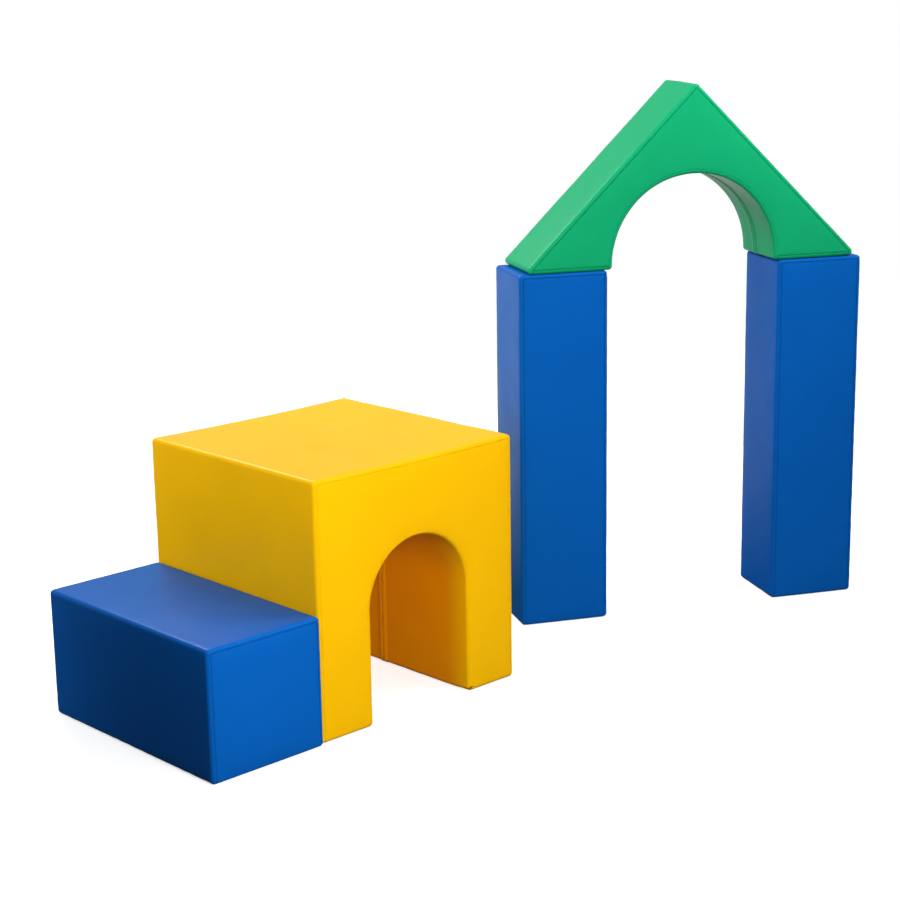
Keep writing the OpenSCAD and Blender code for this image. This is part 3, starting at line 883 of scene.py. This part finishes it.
def tapes(body, path, zip_y, place):
    """The two woven tapes of a zip, from the edge sewn under the strip down to the coil."""
    share = np.linspace(0, 1, TAPE_RAMP_STEPS + 1)
    low = TAPE_T / 2 - COIL_MID
    levels = low + (COIL_MID - TAPE_TOP - TAPE_T / 2) * smooth(share)
    ramp = np.stack([levels, RAMP_IN + (RAMP_OUT - RAMP_IN) * share], axis=1)
    flat = [[-TAPE_TOP, y] for y in np.linspace(RAMP_OUT, TAPE_OUT, TAPE_FLAT_STEPS + 1)[1:]]
    top = np.array([[low, TAPE_IN]] + ramp.tolist() + flat)
    loop = np.concatenate([top, top[::-1] - [TAPE_T, 0]])
    points, out, _, along = path.arrays()
    pair = [spread(points, out, loop * [1, side] + [0, zip_y]) for side in (1, -1)]
    count = len(points) * len(loop)
    faces = grid_faces(len(points), len(loop))
    faces = reversed_faces(faces) + [tuple(k + count for k in f) for f in faces]
    both = np.concatenate([x.reshape(-1, 3) for x in pair])
    made = Made(both, np.full(2 * count, SEAM_FAR), faces, (loop_length(loop), along[-1]), None)
    return sheet_piece(f"tapes_{body}", made, place, f"{body}_zip_tapes", TAPE)


def stitches(body, path, zip_y, rise, place, material):
    """Thread that holds down the lips over a zip, one row on each."""
    points, out, _, along = path.arrays()
    rings = np.linspace(-0.5, 0.5, STITCH_RINGS)
    round_at = np.linspace(0, 2 * math.pi, STITCH_SIDES, endpoint=False)
    thick = STITCH_R * np.sqrt(np.clip(1 + STITCH_BLUNT - (2 * rings) ** 2, STITCH_BLUNT, 1))
    up = rise + thick[:, None] * np.sin(round_at)
    aside = thick[:, None] * np.cos(round_at)
    off = SLIT_W / 2 + STITCH_IN + STITCH_SLANT * rings[:, None]
    one = grid_faces(STITCH_RINGS, STITCH_SIDES)
    made, faces = [], []
    for side in (1, -1):
        for middle in np.arange(STITCH_PITCH, along[-1] - STITCH_PITCH, STITCH_PITCH):
            at = middle + rings * STITCH_L
            x, z = (np.interp(at, along, points[:, k])[:, None] for k in (0, 1))
            out_x, out_z = (np.interp(at, along, out[:, k])[:, None] for k in (0, 1))
            faces += [tuple(k + len(made) * up.size for k in f) for f in one]
            made.append(np.stack([x + out_x * up, zip_y + side * off + aside, z + out_z * up], axis=-1))
    sewn = place.points(np.concatenate([m.reshape(-1, 3) for m in made]))
    return mesh_piece(f"stitches_{body}", sewn, faces, body, material)


def cover(body, name, made, place, material, warp=None):
    node = f"{body}_{name}"
    return sheet_piece(f"cover_{node}", made, place, node, material, warp)


def box_block(body, size, place, seed, crowns):
    """Cover of a plain block: panels, a wrap over its top and left side, a zipped right side and a sole."""
    w, d, h = size
    band = band_section(d)
    corners = box_corners(w, h)

    def make(name, made):
        cover(body, name, made, place, BLUE)

    make("front_panel", box_panel(size, seed))
    make("back_panel", to_back(box_panel(size, seed + 10), d))
    wrap = Path().fold(corners[1], 90, 180)
    wrap.line((w / 2 - FOLD_R, h), (FOLD_R - w / 2, h), crowns["top"])
    wrap.fold(corners[2], 180, 270)
    wrap.line((-w / 2, h - FOLD_R), (-w / 2, FOLD_R), crowns["left"])
    wrap.fold(corners[3], 270, 360)
    make("wrap", swept(wrap, band, d, seed + 20, (True, True)))
    for part, front in HALVES:
        up = Path().fold(corners[0], 0, 90)
        up.line((w / 2, FOLD_R), (w / 2, h - FOLD_R - SEAM_GAP), crowns["right"])
        section = strip_section(d, d / 2, front, LIP_RISE)
        make(f"zip_strip_{part}", swept(up, section, d, seed + 30 + front, (True, True), d / 2))
    under = band + [0, 0, FOOT_EASE]
    make("sole", swept(sole_path(FOLD_R - w / 2, w / 2 - FOLD_R), under, d, seed + 40))
    zip_path = Path().line((w / 2, ZIP_LIFT), (w / 2, h - ZIP_LIFT))
    tapes(body, zip_path, d / 2, place)
    stitches(body, zip_path, d / 2, LIP_RISE, place, BLUE_THREAD)


def tunnel_warp(p):
    """The top sags a little over the arch."""
    p = p.copy()
    over = np.clip((p[:, 2] - TUNNEL_ARCH_H) / (TUNNEL[2] - TUNNEL_ARCH_H), 0, 1)
    p[:, 2] -= TUNNEL_SAG * (1 - np.minimum(1, np.abs(2 * p[:, 0] / TUNNEL[0])) ** 2) * over
    return p


def tunnel_block(place, seed):
    """Cover of the tunnel: arched panels, a wrap over three sides, a zipped lining and two soles."""
    w, d, h = TUNNEL
    r = TUNNEL_ARCH_W / 2
    spring = TUNNEL_ARCH_H - r
    band = band_section(d)
    corners = box_corners(w, h)

    def make(name, made, material=YELLOW):
        cover("tunnel", name, made, place, material, tunnel_warp)

    make("front_panel", arched_panel(corners, r, spring, seed, TUNNEL_RIM, FOOT_EASE))
    make("back_panel", to_back(arched_panel(corners, r, spring, seed + 10, TUNNEL_RIM, FOOT_EASE), d))
    wrap = Path().fold(corners[0], 0, 90)
    wrap.line((w / 2, FOLD_R), (w / 2, h - FOLD_R), TUNNEL_CROWNS["right"])
    wrap.fold(corners[1], 90, 180)
    wrap.line((w / 2 - FOLD_R, h), (FOLD_R - w / 2, h), TUNNEL_CROWNS["top"])
    wrap.fold(corners[2], 180, 270)
    wrap.line((-w / 2, h - FOLD_R), (-w / 2, FOLD_R), TUNNEL_CROWNS["left"])
    wrap.fold(corners[3], 270, 360)
    make("wrap", swept(wrap, band, d, seed + 20, (True, True)))
    path = lining_path(TUNNEL_ARCH_W, spring)
    for part, front in HALVES:
        section = strip_section(d, d / 2, front, ARCH_LIP_RISE, ARCH_GROOVE_EASE)
        made = swept(path, section, d, seed + 30 + front, zip_y=d / 2, rim=TUNNEL_RIM)
        make(f"lining_{part}", made, LINING)
    foot = r + FOLD_R
    under = band + [0, 0, FOOT_EASE]
    make("left_sole", swept(sole_path(FOLD_R - w / 2, -foot), under, d, seed + 40))
    make("right_sole", swept(sole_path(foot, w / 2 - FOLD_R), under, d, seed + 41))
    zip_path = arch_zip_path(TUNNEL_ARCH_W, spring)
    tapes("tunnel", zip_path, d / 2, place)
    stitches("tunnel", zip_path, d / 2, ARCH_LIP_RISE, place, YELLOW_THREAD)


def gable_block(place, seed):
    """Cover of the gable: arched panels, a strip over both slopes, a zipped lining and two soles."""
    w, d, h = GABLE
    r = GABLE_ARCH_W / 2
    band = band_section(d)
    corners = [(w / 2, 0), (0, h), (-w / 2, 0)]
    slope = math.degrees(math.atan2(h, -w / 2))
    tip, ridge = fold_back(slope), fold_back(360 - 2 * slope)
    along = np.array([-w / 2, h]) / math.hypot(w / 2, h)

    def make(name, made):
        cover("gable", name, made, place, GREEN)

    make("front_panel", arched_panel(corners, r, FOLD_R, seed, GABLE_RIM))
    make("back_panel", to_back(arched_panel(corners, r, FOLD_R, seed + 10, GABLE_RIM), d))
    right, top = np.array(corners[0]) + tip * along, np.array(corners[1]) - ridge * along
    roof = Path().fold(corners[0], 0, slope).line(right, top, GABLE_CROWN)
    roof.fold(corners[1], slope, 360 - slope)
    roof.line(top * [-1, 1], right * [-1, 1], GABLE_CROWN).fold(corners[2], 360 - slope, 360)
    make("roof_strip", swept(roof, band, d, seed + 20, (True, True)))
    path = lining_path(GABLE_ARCH_W, FOLD_R)
    for part, front in HALVES:
        section = strip_section(d, GABLE_ZIP_Y, front, ARCH_LIP_RISE, ARCH_GROOVE_EASE)
        made = swept(path, section, d, seed + 30 + front, zip_y=GABLE_ZIP_Y, rim=GABLE_RIM)
        make(f"lining_{part}", made)
    foot = r + FOLD_R
    make("left_sole", swept(sole_path(tip - w / 2, -foot), band, d, seed + 40))
    make("right_sole", swept(sole_path(foot, w / 2 - tip), band, d, seed + 41))
    zip_path = arch_zip_path(GABLE_ARCH_W, FOLD_R)
    tapes("gable", zip_path, GABLE_ZIP_Y, place)
    stitches("gable", zip_path, GABLE_ZIP_Y, ARCH_LIP_RISE, place, GREEN_THREAD)


for body in BODIES:
    for part, material in (("coils", COIL), ("slider", NICKEL)):
        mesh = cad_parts[f"{body}_zip_{part}"].data
        mesh.materials.clear()
        mesh.materials.append(material)
core("tunnel", ARCH_FOAM_IN, TUNNEL_SAG)
core("gable", ARCH_FOAM_IN)
for body in ("step", "left_column", "right_column"):
    core(body)
tunnel_block(Place(0, 0), seed=100)
step_x = -(TUNNEL[0] + STEP[0]) / 2 - STEP_GAP
box_block("step", STEP, Place(step_x, -STEP_BEFORE), 200, STEP_CROWNS)
column_x = (GATE_SPAN + COLUMN[0]) / 2
box_block("left_column", COLUMN, Place(-column_x, -COLUMN[1] / 2, gate=True), 300, COLUMN_CROWNS)
box_block("right_column", COLUMN, Place(column_x, -COLUMN[1] / 2, gate=True), 400, COLUMN_CROWNS)
gable_block(Place(0, -GABLE[1] / 2, COLUMN[2] + TOUCH_GAP, gate=True), seed=500)


# Stage and light, in metres from here on
WHITE = (1, 1, 1, 1)
FLOOR_HALF = 60
# The floor to the light, and to the eye, where its glow makes up for what the lamps leave dim
FLOOR_DIM = 0.15
FLOOR_PALE = 0.75
FLOOR_GLOW = 0.62
# The floor in reflections, from before the set to behind it
FLOOR_SHEEN = (0.05, 0.95)
FLOOR_BACK_WAY = (0.6, 0.8, 0)
FLOOR_BACK = (0.4, 1.6)
# The room to the light, and in reflections, where it is brightest one way
AMBIENT = 0.52
ROOM_SHEEN = (0.0, 0.43)
ROOM_BRIGHT_WAY = Vector((0.3, 0.75, 0.55)).normalized()
ROOM_BRIGHT = (0.0, 0.8)
# A black card on the left, clear of the step at the end of its pull
CARD_BLACK = 0.01
CARD_X = -1.5
CARD_NEAR, CARD_FAR = -1.6, 0.65
CARD_TOP = 0.65


def grey(level):
    return (level, level, level, 1)


def seen(n, eye, mirror, light):
    """One shader to the eye and through glass, one in reflections, and one to all other light."""
    path = n.add("ShaderNodeLightPath").outputs
    rays = {0: path["Is Camera Ray"], 1: path["Is Transmission Ray"]}
    to_eye = n.add("ShaderNodeMath", rays, operation="MAXIMUM").outputs[0]
    other = {0: path["Is Glossy Ray"], 1: light.outputs[0], 2: mirror.outputs[0]}
    other = n.add("ShaderNodeMixShader", other).outputs[0]
    return n.add("ShaderNodeMixShader", {0: to_eye, 1: other, 2: eye.outputs[0]}).outputs[0]


def floor_material():
    """White to the eye, with the blocks' shadows, and a dim floor to the light and in reflections."""
    material, n = blank("floor")
    dim = n.add("ShaderNodeBsdfDiffuse", {"Color": grey(FLOOR_DIM)})
    pale = n.add("ShaderNodeBsdfDiffuse", {"Color": grey(FLOOR_PALE)})
    glow = n.add("ShaderNodeEmission", {"Color": WHITE, "Strength": FLOOR_GLOW})
    white = n.add("ShaderNodeAddShader", {0: pale.outputs[0], 1: glow.outputs[0]})
    place = n.add("ShaderNodeNewGeometry").outputs["Position"]
    back = n.add("ShaderNodeVectorMath", {0: place, 1: FLOOR_BACK_WAY}, operation="DOT_PRODUCT")
    behind = n.ranged(back.outputs["Value"], FLOOR_BACK, FLOOR_SHEEN)
    sheen = n.add("ShaderNodeEmission", {"Color": WHITE, "Strength": behind})
    n.add("ShaderNodeOutputMaterial", {"Surface": seen(n, white, sheen, dim)})
    return material


def black_card():
    """A card beside the set, out of the camera's sight, that keeps the low light off the step's left side."""
    material, n = blank("flag")
    black = n.add("ShaderNodeBsdfDiffuse", {"Color": grey(CARD_BLACK)})
    n.add("ShaderNodeOutputMaterial", {"Surface": black.outputs[0]})
    foot = [(CARD_X, CARD_NEAR, 0), (CARD_X, CARD_FAR, 0)]
    top = [(CARD_X, CARD_FAR, CARD_TOP), (CARD_X, CARD_NEAR, CARD_TOP)]
    made = linked("flag", new_mesh("flag", foot + top, [(0, 1, 2, 3)], material))
    made.visible_camera = False


def light_room():
    """Even light from all sides, a white room to the eye, and a graded one in reflections."""
    world = bpy.data.worlds.new("studio")
    bpy.context.scene.world = world
    world.use_nodes = True
    n = Nodes(world.node_tree)
    way = n.add("ShaderNodeTexCoord").outputs["Generated"]
    facing = n.add("ShaderNodeVectorMath", {0: way, 1: ROOM_BRIGHT_WAY}, operation="DOT_PRODUCT")
    wall = n.ranged(facing.outputs["Value"], ROOM_BRIGHT, ROOM_SHEEN)
    soft = n.add("ShaderNodeBackground", {"Color": WHITE, "Strength": AMBIENT})
    room = n.add("ShaderNodeBackground", {"Color": WHITE, "Strength": wall})
    white = n.add("ShaderNodeBackground", {"Color": WHITE, "Strength": 1.0})
    n.add("ShaderNodeOutputWorld", {"Surface": seen(n, white, room, soft)})


def lamp(name, at, to, size, watts, mirrored=False):
    """A soft box; one that isn't mirrored doesn't glare off a face seen from a low angle."""
    data = bpy.data.lights.new(name, "AREA")
    data.shape = "RECTANGLE"
    data.size, data.size_y = size
    data.energy = watts
    made = linked(name, data)
    made.location = at
    made.rotation_euler = (Vector(to) - Vector(at)).to_track_quat("-Z", "Y").to_euler()
    made.visible_glossy = mirrored
    return made


floor_corners = [(x * FLOOR_HALF, y * FLOOR_HALF, 0) for x, y in ((-1, -1), (1, -1), (1, 1), (-1, 1))]
floor = linked("floor", new_mesh("floor", floor_corners, [(0, 1, 2, 3)], floor_material()))
light_room()
black_card()
lamp("key", (0.6, -1.0, 2.2), (0.55, 0, 0.95), (0.8, 0.6), watts=19)
lamp("fill", (-1.2, -1.7, 0.9), (-0.7, 0, 0.2), (0.8, 0.6), watts=24)
lamp("left", (-2.8, 1.4, 1.0), (-0.3, 0.1, 0.5), (1.5, 1.5), watts=34)
lamp("gate", (0.0, 1.9, 2.3), (0.1, 0.1, 0.8), (0.9, 0.9), watts=40, mirrored=True)

# The photograph's camera, fitted to the edges of the blocks: millimetres from the tunnel's front, and degrees
CAMERA_AT = (-2806, -3084, 1636)
CAMERA_YAW = 46.7
CAMERA_PITCH = 13.9
CAMERA_ROLL = -1.0
CAMERA_LENS = 78.2
CAMERA_SENSOR = 36
yaw, pitch, roll = (math.radians(a) for a in (CAMERA_YAW, CAMERA_PITCH, CAMERA_ROLL))
ahead = Vector((math.cos(yaw) * math.cos(pitch), math.sin(yaw) * math.cos(pitch), -math.sin(pitch)))
right = Vector((math.sin(yaw), -math.cos(yaw), 0))
up = right.cross(ahead)
right, up = math.cos(roll) * right + math.sin(roll) * up, math.cos(roll) * up - math.sin(roll) * right
camera = linked("camera", bpy.data.cameras.new("camera"))
camera.data.lens = CAMERA_LENS
camera.data.sensor_width = CAMERA_SENSOR
stand_at = Matrix.Translation(Vector((np.array(CAMERA_AT) + ORIGIN) * MM))
camera.matrix_world = stand_at @ Matrix((right, up, -ahead)).transposed().to_4x4()
bpy.context.scene.camera = camera
bpy.context.scene.view_settings.view_transform = "Standard"
